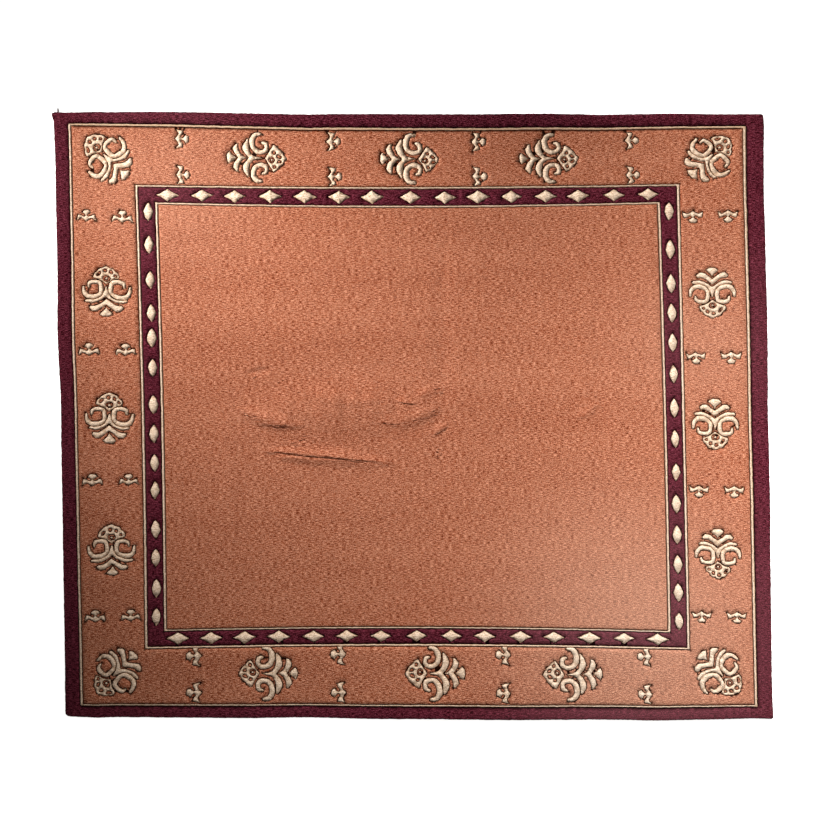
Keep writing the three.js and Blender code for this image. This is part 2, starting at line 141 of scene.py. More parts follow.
# ---- Foundation cloth -------------------------------------------------------------------------------
# The warps and wefts that the knots are tied on: undyed cotton, woven on an upright loom into one flat
# cloth. It isn't quite square, its lines bow a little, and it lies in soft folds left of its middle.
# It was charted square and true, U along the rug and V across it, in millimetres. at is the charted place of
# an edge or guard line, lean how far it shifts in a metre of its length, and bow how far its middle does.
Line = namedtuple("Line", "at lean bow")
UPRIGHTS = [
    Line(-1487, -19.6, 5),  # left edge
    Line(-1419, -20.6, 0.8),  # left outer guard line
    Line(-1146, -20.8, 10.8),  # left band guard line
    Line(-1065.5, -20.3, 10.9),  # left field guard line
    Line(1050.5, -24.5, 7.5),  # right field guard line
    Line(1134, -22.6, 1),  # right band guard line
    Line(1414.5, -20.8, 0.6),  # right outer guard line
    Line(1489, -16, 4.5),  # right edge
]
LEVELS = [
    Line(-1271, -4.2, -5),  # near edge
    Line(-1218.5, -2.8, -0.8),  # near outer guard line
    Line(-986, -1.4, 22),  # near band guard line
    Line(-917.5, -2.6, 27),  # near field guard line
    Line(905, 0.9, -27),  # far field guard line
    Line(973, 1.8, -16),  # far band guard line
    Line(1221, -4.5, -16.5),  # far outer guard line
    Line(1273, -3.3, -5),  # far edge
]
LEFT, RIGHT, NEAR, FAR = UPRIGHTS[0].at, UPRIGHTS[-1].at, LEVELS[0].at, LEVELS[-1].at
LENGTH = RIGHT - LEFT
WIDTH = FAR - NEAR
METRE = 1000
# The middle of the CAD model's box, from the middle of the chart
BOX_MIDDLE = (0.41, -2.16)

# The small ripples along each edge: where each lies, how far it moves the edge and how far it reaches
RIPPLES = {
    "left": [(-950, 1, 120), (30, 2, 110), (350, -6, 160), (1050, 2, 110)],
    "right": [(-370, 2, 80), (0, -2.5, 110), (390, 2, 170), (920, -2.5, 80), (1210, 4, 80)],
    "near": [(-1360, -3, 60), (-470, 5, 170), (380, -2.5, 180), (1000, -4, 110), (1390, 4.5, 120)],
    "far": [(-1450, -3, 80), (-980, 3.5, 220), (-430, -3.5, 130)]
    + [(550, 3, 150), (820, -2.5, 70), (1120, 2.5, 110)],
}
RIPPLE_REACH = 120

# How much is rounded off each corner, and how far it was dragged out to its side
Corner = namedtuple("Corner", "u v cut pull")
CORNERS = [
    Corner(RIGHT, FAR, cut=6, pull=0),
    Corner(LEFT, FAR, cut=4, pull=-2),
    Corner(LEFT, NEAR, cut=14, pull=0),
    Corner(RIGHT, NEAR, cut=7, pull=6),
]
PULL_REACH = 60


def shift_of(lines, at, along, length):
    """How far the cloth shifts at places between the lines, from their lean and bow."""
    ats, leans, bows = np.array(lines, float).T
    leaning = np.interp(at, ats, leans) * along / METRE
    return leaning + np.interp(at, ats, bows) * np.cos(np.pi * along / length)


def lay(charted_u, charted_v):
    """Where charted points lie on the floor, both in mm."""
    u = np.clip(charted_u, LEFT, RIGHT)
    v = np.clip(charted_v, NEAR, FAR)
    x = charted_u + shift_of(UPRIGHTS, u, v, WIDTH)
    y = charted_v + shift_of(LEVELS, v, u, LENGTH)
    insets = {"left": u - LEFT, "right": RIGHT - u, "near": v - NEAR, "far": FAR - v}
    for edge, ripples in RIPPLES.items():
        for at, shift, long in ripples:
            along = v if edge in ("left", "right") else u
            moved = shift * np.exp(-(((along - at) / long) ** 2) - insets[edge] / RIPPLE_REACH)
            if edge in ("left", "right"):
                x = x + moved
            else:
                y = y + moved
    for corner in CORNERS:
        x = x + corner.pull * np.exp(-np.hypot(u - corner.u, v - corner.v) / PULL_REACH)
    return x, y


# The folds, in place on the floor. A crest runs from x0, y0 to x1, y1, with its middle bowed to its left, and
# left and right are the widths of its flanks. The cloth drops sharply where the right one is under 10 mm.
Fold = namedtuple("Fold", "x0 y0 x1 y1 bow high left right")
FOLDS = [
    Fold(-760, 12, 230, 42, 8, 14, 175, 160),  # the swell that the creases lie on
    Fold(-650, -141, -40, -204, 4, 10, 44, 60),  # the long crease
    Fold(-665, -146, -110, -198, 3, 6.5, 26, 8),  # the sharp drop below its crest
    Fold(-600, -172, -330, -190, 0, 5, 12, 34),  # the shaded side under its left half
    Fold(-560, -120, -410, -124, 0, 3, 20, 9),  # a wrinkle above it
    Fold(-750, 34, -455, -44, -14, 12, 50, 46),  # the upper crease
    Fold(-650, -31, -490, -47, -3, 4, 22, 7),  # its sharp drop
    Fold(-600, 170, -100, 66, -50, 5, 60, 40),  # the outer wrinkle, over the swell
    Fold(-155, -22, 122, 42, -27, 6, 48, 44),  # the middle crease
    Fold(-150, -31, -40, -37, -2, 2, 24, 7),  # its sharp drop
    Fold(66, -88, 152, -34, 0, 7, 36, 20),  # the crease at the end of the swell
    Fold(-80, 62, 24, 48, -3, 5, 30, 9),  # the nick
    Fold(0, 76, 150, 128, 0, 4, 34, 28),  # a faint crease beyond it
    Fold(676, -16, 796, 62, -6, 6, 32, 20),  # a lone crease at the right
]
# Flanks narrow to this share at a crest's ends. A crest sways and a flank widens by so many mm, and the
# crest's height varies by a share, all as uneven() says.
FOLD_NARROW = 0.3
CREST_SWAY = 2.5
CREST_VARIES = 0.2
FLANK_VARIES = 9.0
# A dent and the straight lines left from storage, where the pile alone is pressed down or stands up. They are
# given like the folds.
FOLD_LINES = [
    Fold(-705, 174, -585, 198, 0, -5, 22, 26),  # the dent
    Fold(128, 920, 117, -480, 0, -3, 70, 70),
    Fold(776, 930, 790, -930, 0, -3, 55, 55),
    Fold(-782, 330, -766, -930, 0, 2.6, 55, 55),
]


def uneven(along, seed):
    """A smooth wave from -1 to 1 that doesn't repeat soon, from two wavelengths in mm."""
    return 0.6 * np.sin(along / 29 + 1.7 * seed) + 0.4 * np.sin(along / 11.3 + 2.9 * seed)


def lift_of(folds, x, y):
    """How high the folds lift the cloth at places on the floor."""
    lift = np.zeros_like(x)
    for i, fold in enumerate(folds):
        run = np.array([fold.x1 - fold.x0, fold.y1 - fold.y0])
        length = np.hypot(*run)
        share = np.clip(((x - fold.x0) * run[0] + (y - fold.y0) * run[1]) / length**2, 0, 1)
        arch = np.sin(np.pi * share)
        wave = uneven(share * length, i)
        beside = (run[0] * (y - fold.y0) - run[1] * (x - fold.x0)) / length
        off = beside - fold.bow * arch - CREST_SWAY * wave
        right = fold.right + FLANK_VARIES * np.maximum(0, uneven(share * length, i + 5))
        flank = np.where(off > 0, fold.left, right) * (FOLD_NARROW + (1 - FOLD_NARROW) * arch)
        high = fold.high * arch * (1 + CREST_VARIES * wave)
        lift += high * np.cos(np.minimum(1, np.abs(off) / flank) * np.pi / 2) ** 2
    return lift


# How high the pile stands over the floor, and how deep it is carved along a change of colour
PILE_TOP = 13.0
GROOVE_DEEP = 8.5
# How far knotters' lines stray from the chart, and over what length
Wobble = namedtuple("Wobble", "far long")
WOBBLES = [Wobble(0.9, 38), Wobble(1.3, 10)]


def laid(name, charted, materials):
    """Makes a charted mesh a piece of the rug.

    Its UV map keeps the chart, in metres, and its points are laid on the floor and lifted by the folds. The
    attribute root is 0 at the top of the pile and 1 deep in a groove, and sets how much shade the wool paints
    there.
    """
    mesh = bpy.data.meshes.new(name)
    charted.to_mesh(mesh)
    charted.free()
    points = np.empty(len(mesh.vertices) * 3)
    mesh.vertices.foreach_get("co", points)
    u, v, high = points.reshape(-1, 3).T
    corners = np.empty(len(mesh.loops), np.int32)
    mesh.loops.foreach_get("vertex_index", corners)
    chart = mesh.uv_layers.new(name="chart")
    chart.data.foreach_set("uv", (np.column_stack([u, v])[corners] * MM).ravel())
    root = mesh.attributes.new("root", "FLOAT", "POINT")
    root.data.foreach_set("value", np.clip((PILE_TOP - high) / GROOVE_DEEP, 0, 1))
    stray = sum(
        far * np.array([noise.noise_vector((a / long, b / long, far)) for a, b in zip(u, v)])
        for far, long in WOBBLES
    )
    x, y = lay(u + stray[:, 0], v + stray[:, 1])
    z = high + lift_of(FOLDS, x, y) + np.where(high > FOUNDATION_TOP, lift_of(FOLD_LINES, x, y), 0)
    laid_points = np.column_stack([x - BOX_MIDDLE[0], y - BOX_MIDDLE[1], z]) * MM
    mesh.vertices.foreach_set("co", laid_points.ravel())
    mesh.polygons.foreach_set("use_smooth", np.ones(len(mesh.polygons), bool))
    for material in materials:
        mesh.materials.append(material)
    mesh.update()
    piece = bpy.data.objects.new(name, mesh)
    scene.collection.objects.link(piece)
    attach(piece, "root")
    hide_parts("rug")
    return piece


FOUNDATION_TOP = 2.5
FOUNDATION_INSET = 4.0
# A corner's arc starts this many times its cut from the corner
CORNER_ROUND = 1.6
# The cells of a charted grid are small over the folds and large elsewhere
FOLDED_U, FOLDED_V = (-790, 210), (-250, 250)
FOUNDATION_CELL = {"small": 10, "large": 26}


def grid_stops(low, high, folded, small, large):
    """Where the lines of a charted grid lie, in one direction."""
    parts = ((low, folded[0], large), (*folded, small), (folded[1], high, large))
    runs = [np.linspace(start, end, round((end - start) / cell) + 1)[:-1] for start, end, cell in parts]
    return np.concatenate([*runs, [high]])


def charted_grid(stops_u, stops_v):
    """A flat grid with its lines at the given stops."""
    shape = bmesh.new()
    bmesh.ops.create_grid(shape, x_segments=len(stops_u) - 1, y_segments=len(stops_v) - 1, size=0.5)
    for vert in shape.verts:
        u = stops_u[round((vert.co.x + 0.5) * (len(stops_u) - 1))]
        v = stops_v[round((vert.co.y + 0.5) * (len(stops_v) - 1))]
        vert.co = (u, v, 0)
    return shape


# The cream guard lines lie in three rings from the edge inwards. Upright ones are wider than level ones.
GUARD_WIDE = {"upright": 11.5, "level": 7.5}
GUARD_RINGS = (1, 2, 3)


def with_guards(stops, lines, wide):
    """The stops of a grid with one more at either edge of each guard line, and none close to those."""
    edges = [line.at + side * wide / 2 for line in lines[1:-1] for side in (-1, 1)]
    clear = [stop for stop in stops if min(abs(stop - edge) for edge in edges) > wide / 3]
    return np.sort(np.concatenate([clear, edges]))


def zone_of(u, v):
    """Which zone a charted place lies in: even ones are bands, odd ones the guard lines between them."""
    zone = 0
    for ring in GUARD_RINGS:
        beside_u = min(u - UPRIGHTS[ring].at, UPRIGHTS[-1 - ring].at - u) / GUARD_WIDE["upright"]
        beside_v = min(v - LEVELS[ring].at, LEVELS[-1 - ring].at - v) / GUARD_WIDE["level"]
        inside = min(beside_u, beside_v)
        if inside > 0.5:
            zone = 2 * ring
        elif inside > -0.5:
            zone = 2 * ring - 1
    return zone


def verts_of(geometry):
    """The vertices among what an operator has made."""
    return [part for part in geometry if isinstance(part, bmesh.types.BMVert)]


cloth_u = grid_stops(LEFT + FOUNDATION_INSET, RIGHT - FOUNDATION_INSET, FOLDED_U, **FOUNDATION_CELL)
cloth_v = grid_stops(NEAR + FOUNDATION_INSET, FAR - FOUNDATION_INSET, FOLDED_V, **FOUNDATION_CELL)
cloth_u = with_guards(cloth_u, UPRIGHTS, GUARD_WIDE["upright"])
cloth_v = with_guards(cloth_v, LEVELS, GUARD_WIDE["level"])
cloth = charted_grid(cloth_u, cloth_v)
upper = bmesh.ops.extrude_face_region(cloth, geom=cloth.faces[:])["geom"]
bmesh.ops.translate(cloth, verts=verts_of(upper), vec=(0, 0, FOUNDATION_TOP))
# Its corners are drawn in to lie under the rounded corners of the pile
CORNER_NEAR = FOUNDATION_INSET + 1
for corner in CORNERS:
    drawn_in = CORNER_ROUND * corner.cut / 4
    for vert in cloth.verts:
        if abs(vert.co.x - corner.u) < CORNER_NEAR and abs(vert.co.y - corner.v) < CORNER_NEAR:
            vert.co.x -= math.copysign(drawn_in, corner.u)
            vert.co.y -= math.copysign(drawn_in, corner.v)
bmesh.ops.recalc_face_normals(cloth, faces=cloth.faces[:])
# Which material of the knot backs each zone has, from the edge inwards
BACK_ZONES = [0, 1, 2, 1, 0, 1, 2]
for face in cloth.faces:
    middle = face.calc_center_median()
    face.material_index = BACK_ZONES[zone_of(middle.x, middle.y)]

# On the underside each knot shows as a small bead of its wool between two cotton wefts. A knot is about 3 mm
# wide, and the beads are drawn at 6 by 5 mm so that they show.
KNOT_LONG = 6.0
KNOT_HIGH = 5.0
KNOT_RELIEF = 0.5
KNOTS_UNEVEN = 0.25
# How far from a bead's middle, in beads, the weft begins to show, and how dark and light the beads are
BEAD_EDGE = 0.35
BEAD_DARK, BEAD_LIGHT = 0.72, 1.1
WEFT_COLOUR = linear("cdb896")


def knotted_back(name, wool_code):
    """Hand-knotted wool seen from its back, as bare yarn: matt beads of one dye, each a little lighter or
    darker, with the undyed wefts between them."""
    material, tree, surface = matt(name, roughness=0.85, specular=0.15)
    chart = add(tree, "UVMap", uv_map="chart")
    scale = (METRE / KNOT_LONG, METRE / KNOT_HIGH, 1)
    place = add(tree, "Mapping", [(0, chart)], inputs={"Scale": scale})
    bead = add(tree, "TexVoronoi", [(0, place)], inputs={"Scale": 1, "Randomness": KNOTS_UNEVEN})
    off_middle = bead.outputs["Distance"]
    each = add(tree, "SeparateXYZ", [(0, bead.outputs["Color"])])
    shade = add(tree, "MapRange", [(0, each)], inputs={3: BEAD_DARK, 4: BEAD_LIGHT})
    dyed = add(tree, "VectorMath", [(3, shade)], operation="SCALE", inputs={0: linear(wool_code)[:3]})
    edge = add(tree, "MapRange", [(0, off_middle)], inputs={1: BEAD_EDGE, 2: 2 * BEAD_EDGE})
    colour = add(tree, "Mix", [(0, edge), (6, dyed)], data_type="RGBA", inputs={7: WEFT_COLOUR})
    tree.links.new(colour.outputs[2], surface.inputs["Base Color"])
    depth = {"Strength": 1, "Distance": KNOT_RELIEF * MM}
    bump = add(tree, "Bump", [("Height", off_middle)], invert=True, inputs=depth)
    tree.links.new(bump.outputs[0], surface.inputs["Normal"])
    return material


knot_backs = [
    knotted_back("backs of burgundy knots", "4a1420"),
    knotted_back("backs of cream knots", "d0bc9b"),
    knotted_back("backs of terracotta knots", "a65f40"),
]
foundation = laid("foundation", cloth, knot_backs)

# ---- Wool pile --------------------------------------------------------------------------------------
# Sheep's wool, hand-spun and dyed in the hank, then knotted row by row and shorn 13 mm over the floor. Every
# edge between two colours is carved with shears into a soft groove.
GROOVE_WIDE = 2.6
CREAM_RAISED = 2.0
# How far from a groove's line, and from the rug's edge, the mesh has rows of points
OFFSETS = (1.4, 3.4)
EDGE_OFFSETS = (0.8, 2.4, 5.0)
EDGE_ROUND = 5.0
EDGE_TUCK = 3.0
NEAREST_POINT = 1.2
# The skirt of a zone of pile ends a little below the top of the foundation
PILE_FOOT = FOUNDATION_TOP - 0.5

# A knot is 3 mm wide, finer than the photograph's 4 mm pixels, so it shows as streaks of several knots of a
# row. Each pattern has its size along and across the rows, how much it changes the tone, and its relief.
Pattern = namedtuple("Pattern", "long high tone relief")
PILE_PATTERNS = [
    Pattern(3.2, 2.9, 3.6, 1.6),  # single tufts
    Pattern(16, 2.7, 3.0, 2.0),  # rows of knots
    Pattern(90, 18, 0.13, 0.6),  # rows beaten down more or less hard
    Pattern(70, 55, 0.16, 1.6),  # places that lean one way
    Pattern(1300, 130, 0.2, 0),  # dye lots, which change from row to row
]
# How far the rows sway, in mm, and over what length
ROW_SWAY = 7.0
ROW_SWAY_LONG = 32
# How steeply the shade falls off up a groove's wall, and how much it varies along the rows
GROOVE_SHADE_NARROW = 2.0
GROOVE_SHADE_UNEVEN = 3.0

# Painted sheen, where the lamps light the pile most and leave it paler and greyer: a place on the chart, how
# far it reaches in mm, how much it pales there
PaintedSheenSpot = namedtuple("PaintedSheenSpot", "u v reach much")
PAINTED_SHEEN_SPOTS = [
    PaintedSheenSpot(950, -950, 950, 0.2),
    PaintedSheenSpot(1250, 300, 600, 0.08),
    PaintedSheenSpot(-1000, 1000, 600, 0.06),
]

# The colours of a dye: the roots and the tips of the tufts, what lies between, painted shade deep in a
# groove, and painted sheen. shade is how much of a groove's wall is painted dark.
Dye = namedtuple("Dye", "roots middle tips deep bleached shade")


def wool(name, dye):
    """Cut sheep's wool of one dye, shorn level: matt with a faint sheen, mottled where tufts show their roots
    or their tips, streaked along its rows, with shade painted deep in its grooves and paler painted sheen in
    places."""
    material, tree, surface = matt(name, roughness=0.8, specular=0.1)
    surface.inputs["Specular Tint"].default_value = linear(dye.tips)
    surface.inputs["Sheen Weight"].default_value = 0.05
    surface.inputs["Sheen Roughness"].default_value = 0.5
    surface.inputs["Sheen Tint"].default_value = linear(dye.tips)
    chart = add(tree, "UVMap", uv_map="chart")
    sway = add(tree, "TexNoise", [(0, chart)], inputs={"Scale": METRE / ROW_SWAY_LONG, "Detail": 1})
    sway = add(tree, "VectorMath", [(0, sway.outputs[1])], operation="SUBTRACT", inputs={1: (0.5, 0.5, 0.5)})
    sway = add(tree, "VectorMath", [(0, sway)], operation="SCALE", inputs={3: ROW_SWAY * MM})
    swayed = add(tree, "VectorMath", [(0, chart), (1, sway)], operation="ADD")
    sums = {}
    grains = []
    for i, pattern in enumerate(PILE_PATTERNS):
        mapping = {"Location": (0, 0, 7 * i), "Scale": (METRE / pattern.long, METRE / pattern.high, 1)}
        place = add(tree, "Mapping", [(0, swayed)], inputs=mapping)
        grain = add(tree, "TexNoise", [(0, place)], inputs={"Scale": 1, "Detail": 2})
        grains.append(add(tree, "Math", [(0, grain)], operation="SUBTRACT", inputs={1: 0.5}))
        for what, start, weight in (("tone", 0.5, pattern.tone), ("relief", 0, pattern.relief * MM)):
            terms = [(0, grains[i])] + ([(2, sums[what])] if i else [])
            sums[what] = add(tree, "Math", terms, operation="MULTIPLY_ADD", inputs={1: weight, 2: start})
    fibres = add(tree, "ValToRGB", [(0, sums["tone"])])
    stops = fibres.color_ramp.elements
    stops.new(0.5)
    for stop, colour in zip(stops, (dye.roots, dye.middle, dye.tips)):
        stop.color = linear(colour)
    # Painted sheen: round each spot the colour is mixed towards the dye's pale sheen colour
    painted_sheen_share = None
    for spot in PAINTED_SHEEN_SPOTS:
        centre = (spot.u * MM, spot.v * MM, 0)
        away = add(tree, "VectorMath", [(0, chart)], operation="DISTANCE", inputs={1: centre}).outputs[1]
        near = add(tree, "MapRange", [(0, away)], interpolation_type="SMOOTHSTEP")
        for key, value in ((1, 0), (2, spot.reach * MM), (3, spot.much), (4, 0)):
            near.inputs[key].default_value = value
        painted_sheen_share = add(tree, "Math", [(0, near), (1, painted_sheen_share)], operation="ADD") if painted_sheen_share else near
    painted_sheen_mix = add(tree, "Mix", [(0, painted_sheen_share), (6, fibres)], data_type="RGBA", inputs={7: linear(dye.bleached)})
    # Painted shade: down a groove's wall the colour is mixed towards the dye's deep colour, darkest at the
    # bottom, unevenly along the rows
    root = add(tree, "Attribute", attribute_name="root").outputs["Fac"]
    narrow = add(tree, "Math", [(0, root)], operation="POWER", inputs={1: GROOVE_SHADE_NARROW})
    wall = {1: GROOVE_SHADE_UNEVEN, 2: dye.shade}
    painted_shade_strength = add(tree, "Math", [(0, grains[1])], operation="MULTIPLY_ADD", inputs=wall)
    shaded = add(tree, "Math", [(0, narrow), (1, painted_shade_strength)], operation="MULTIPLY", use_clamp=True)
    carved = add(tree, "Mix", [(0, shaded), (6, painted_sheen_mix.outputs[2])], data_type="RGBA")
    carved.inputs[7].default_value = linear(dye.deep)
    tree.links.new(carved.outputs[2], surface.inputs["Base Color"])
    bump = add(tree, "Bump", [("Height", sums["relief"])], inputs={"Strength": 1, "Distance": 1})
    tree.links.new(bump.outputs[0], surface.inputs["Normal"])
    return material


# The fourth colour of each dye is painted shade deep in a groove, the fifth its painted sheen, and the number
# how much of a groove's wall is painted dark
terracotta = wool("terracotta wool", Dye("581b0b", "a35839", "da9b7c", "180502", "e3bfa6", 2.3))
burgundy = wool("burgundy wool", Dye("140104", "48101a", "7c3846", "040001", "9a6a6c", 1.8))
cream = wool("cream wool", Dye("ab8868", "e4c9ae", "f8dec6", "a87a52", "f0e8d8", 0.8))


def resampled(loop, step):
    """The loop with points added, so that no two neighbours are more than about step apart."""
    points = []
    for here, following in zip(loop, np.roll(loop, -1, axis=0)):
        count = max(1, math.ceil(np.hypot(*(following - here)) / step - 0.25))
        points += [here + (following - here) * i / count for i in range(count)]
    return np.array(points)


def beside(loop, offset):
    """Points at some distance beside a closed loop, each square to it."""
    along = np.roll(loop, -1, axis=0) - np.roll(loop, 1, axis=0)
    normals = np.column_stack([along[:, 1], -along[:, 0]])
    return loop + offset * normals / np.hypot(*normals.T)[:, None]


def box_loop(box, step, cuts=(0, 0, 0, 0)):
    """A charted rectangle, counter-clockwise from its far right corner, each corner rounded by its cut."""
    left, right, near, far = box
    corners = [(right, far), (left, far), (left, near), (right, near)]
    points = []
    for i, (corner, cut) in enumerate(zip(corners, cuts)):
        corner = np.array(corner, float)
        if not cut:
            points.append(corner)
            continue
        back = np.array(corners[i - 1], float) - corner
        ahead = np.array(corners[(i + 1) % 4], float) - corner
        start = corner + cut * back / np.hypot(*back)
        end = corner + cut * ahead / np.hypot(*ahead)
        for share in (0, 0.33, 0.67, 1):
            points.append((1 - share) ** 2 * start + 2 * share * (1 - share) * corner + share**2 * end)
    return resampled(np.array(points), step)


def finder(loops, step):
    """A tree that finds how far a place lies from the nearest of the loops."""
    fine = np.concatenate([resampled(loop, step) for loop in loops])
    tree = kdtree.KDTree(len(fine))
    for i, point in enumerate(fine):
        tree.insert((*point, 0), i)
    tree.balance()
    return tree


def groove(gap):
    """How deep the pile is carved so far from a groove's line."""
    return GROOVE_DEEP * math.exp(-((gap / GROOVE_WIDE) ** 2))


def skirted(shape):
    """Lets the edges of a zone of pile down to the foundation, tucked in under the edge of the rug."""
    edges = [line for line in shape.edges if line.is_boundary]
    for vert in verts_of(bmesh.ops.extrude_edge_only(shape, edges=edges)["geom"]):
        vert.co.z = PILE_FOOT
        vert.co.x = min(max(vert.co.x, LEFT + EDGE_TUCK), RIGHT - EDGE_TUCK)
        vert.co.y = min(max(vert.co.y, NEAR + EDGE_TUCK), FAR - EDGE_TUCK)
    return shape


# How much clear of a zone's rim and hole its other points lie, and what share of an offset a point beside a
# groove has to keep from every other groove
CLEAR_OF_RIM = 0.4
CLEAR_SHARE = 0.85
# The rows of the inner grid, how far it keeps off the grooves and how far its points stray, in spacings
ROWS_APART = 0.87
GRID_CLEAR = 0.35
JITTER = 0.2


def carved_pile(name, rim, hole, motifs, ground, spacing, edge=False):
    """Makes a zone of pile inside a rim and outside a hole.

    The ground colour changes to cream inside each motif and back inside a motif in it, and the pile is carved
    down along all of these lines. Where edge is true, the rim is the rug's own edge, with rounded pile.
    """
    RIM_LOOP, HOLE_LOOP = 0, 1
    loops = [rim, hole, *motifs]
    lines = loops[1:] if edge else loops
    grooves = finder(lines, 1.0)
    rims = finder([rim], 2.0)
    rim_low, rim_high = rim.min(0) + CLEAR_OF_RIM, rim.max(0) - CLEAR_OF_RIM
    hole_low, hole_high = hole.min(0) - CLEAR_OF_RIM, hole.max(0) + CLEAR_OF_RIM
    taken = set()
    points = []

    def offer(point, clear):
        inside = np.all(point > rim_low) and np.all(point < rim_high)
        if not inside or (np.all(point > hole_low) and np.all(point < hole_high)):
            return
        if grooves.find((*point, 0))[2] < clear or (clear > EDGE_ROUND and rims.find((*point, 0))[2] < clear):
            return
        cell = tuple(np.round(point / NEAREST_POINT).astype(int))
        near_cells = {(cell[0] + i, cell[1] + j) for i in (-1, 0, 1) for j in (-1, 0, 1)}
        if near_cells & taken:
            return
        taken.add(cell)
        points.append(Vector(point))

    for loop in lines:
        for offset in OFFSETS:
            for side in (-offset, offset):
                for point in beside(loop, side):
                    offer(point, CLEAR_SHARE * offset)
    if edge:
        for offset in EDGE_OFFSETS:
            for point in beside(rim, -offset):
                offer(point, 0.5)
    rng = random.Random(name)
    jitter = spacing * JITTER
    (left, near), (right, far) = rim.min(0), rim.max(0)
    for row, v in enumerate(np.arange(near, far, spacing * ROWS_APART)):
        for u in np.arange(left + (row % 2) * spacing / 2, right, spacing):
            place = np.array([u + rng.uniform(-jitter, jitter), v + rng.uniform(-jitter, jitter)])
            offer(place, OFFSETS[-1] + spacing * GRID_CLEAR)

    verts = list(points)
    faces = []
    for loop in loops:
        faces.append(list(range(len(verts), len(verts) + len(loop))))
        verts += [Vector(point) for point in loop]
    found, _, triangles, _, _, inside = delaunay_2d_cdt(verts, [], faces, 0, 1e-5)
    shape = bmesh.new()
    heights = []
    for point in found:
        gap = grooves.find((*point, 0))[2]
        high = PILE_TOP - groove(gap)
        if edge:
            to_rim = min(EDGE_ROUND, rims.find((*point, 0))[2])
            high -= EDGE_ROUND - math.sqrt(EDGE_ROUND**2 - (EDGE_ROUND - to_rim) ** 2)
        heights.append((high, gap))
    made = [shape.verts.new((*point, high)) for point, (high, _) in zip(found, heights)]
    in_cream = set()
    for triangle, within in zip(triangles, inside):
        if RIM_LOOP not in within or HOLE_LOOP in within:
            continue
        face = shape.faces.new([made[i] for i in triangle])
        if sum(i > HOLE_LOOP for i in within) % 2:
            face.material_index = 1
            in_cream.update(triangle)
    for i in in_cream:
        made[i].co.z += CREAM_RAISED * min(1, heights[i][1] / OFFSETS[-1])
    bmesh.ops.delete(shape, geom=[vert for vert in shape.verts if not vert.link_faces], context="VERTS")
    bmesh.ops.recalc_face_normals(shape, faces=shape.faces[:])
    if shape.faces[0].normal.z < 0:
        bmesh.ops.reverse_faces(shape, faces=shape.faces[:])
    laid(name, skirted(shape), [ground, cream])


# ---- Outer band -------------------------------------------------------------------------------------
# A plain burgundy band, 6 to 7 cm wide at the sides and 5 cm at the ends. Its outer edge is the edge of the
# rug, where the pile leans out over the overcast warps and rounds over.
RIM_STEP = 5


def ring_box(ring, out):
    """The left, right, near and far side of the charted box on the lines of one ring, counted from the edge.
    out is how many half widths of a guard line it lies outside their middle."""
    beside_u = out * GUARD_WIDE["upright"] / 2 if ring else 0
    beside_v = out * GUARD_WIDE["level"] / 2 if ring else 0
    return (
        UPRIGHTS[ring].at - beside_u,
        UPRIGHTS[-1 - ring].at + beside_u,
        LEVELS[ring].at - beside_v,
        LEVELS[-1 - ring].at + beside_v,
    )


edge_cuts = [CORNER_ROUND * corner.cut for corner in CORNERS]
carved_pile(
    "outer_band",
    rim=box_loop(ring_box(0, 0), RIM_STEP, edge_cuts),
    hole=box_loop(ring_box(1, 1), RIM_STEP),
    motifs=[],
    ground=burgundy,
    spacing=16,
    edge=True,
)

# ---- Overcast edges ---------------------------------------------------------------------------------
# The outermost warps of either side, bundled and overcast by hand with burgundy yarn so that they don't wear
# through. They lie under the pile's edge, and the yarn is wound round them every 4 mm.
BUNDLE_RADIUS = 3.3
BUNDLE_INSET = 3.6
BUNDLE_SIDES = 8
BUNDLE_STEP = 12
WRAP_WIDE = 4.0
WRAP_RELIEF = 0.8
# How far apart the bands of a wave texture lie at scale 1
WAVE_APART = math.pi / 10


def overcast_yarn(name, roots, tips):
    """Plied wool yarn wound closely round a bundle: matt and ridged, with shade painted dark in the gap
    between two turns.
    """
    material, tree, surface = matt(name, roughness=0.75, specular=0.15)
    chart = add(tree, "UVMap", uv_map="chart")
    wave = {"Scale": METRE / WRAP_WIDE * WAVE_APART, "Distortion": 1.5, "Detail": 1}
    turns = add(tree, "TexWave", [(0, chart)], bands_direction="Y", wave_profile="SIN", inputs=wave)
    # Painted shade: each turn runs from the dark colour in its gaps to the light one on its ridge
    tones = add(tree, "ValToRGB", [(0, turns.outputs[1])])
    tones.color_ramp.elements[0].color = linear(roots)
    tones.color_ramp.elements[1].color = linear(tips)
    tree.links.new(tones.outputs[0], surface.inputs["Base Color"])
    depth = {"Strength": 1, "Distance": WRAP_RELIEF * MM}
    bump = add(tree, "Bump", [("Height", turns.outputs[1])], inputs=depth)
    tree.links.new(bump.outputs[0], surface.inputs["Normal"])
    return material


yarn = overcast_yarn("overcast burgundy yarn", "2a0810", "6b2433")


def overcast_edge(name, u, near_cut, far_cut):
    """A round bundle that follows the rug's side at u, between its rounded corners."""
    near, far = NEAR + max(near_cut, BUNDLE_INSET), FAR - max(far_cut, BUNDLE_INSET)
    shape = bmesh.new()
    bmesh.ops.create_cone(
        shape,
        segments=BUNDLE_SIDES,
        radius1=BUNDLE_RADIUS,
        radius2=BUNDLE_RADIUS,
        depth=far - near,
        cap_ends=True,
    )
    long_edges = [line for line in shape.edges if line.calc_length() > BUNDLE_STEP]
    bmesh.ops.subdivide_edges(shape, edges=long_edges, cuts=round(WIDTH / BUNDLE_STEP), use_grid_fill=True)
    bmesh.ops.rotate(shape, verts=shape.verts, matrix=Matrix.Rotation(-math.pi / 2, 3, "X"))
    bmesh.ops.translate(shape, verts=shape.verts, vec=(u, (near + far) / 2, BUNDLE_RADIUS))
    bmesh.ops.recalc_face_normals(shape, faces=shape.faces[:])
    laid(name, shape, [yarn])


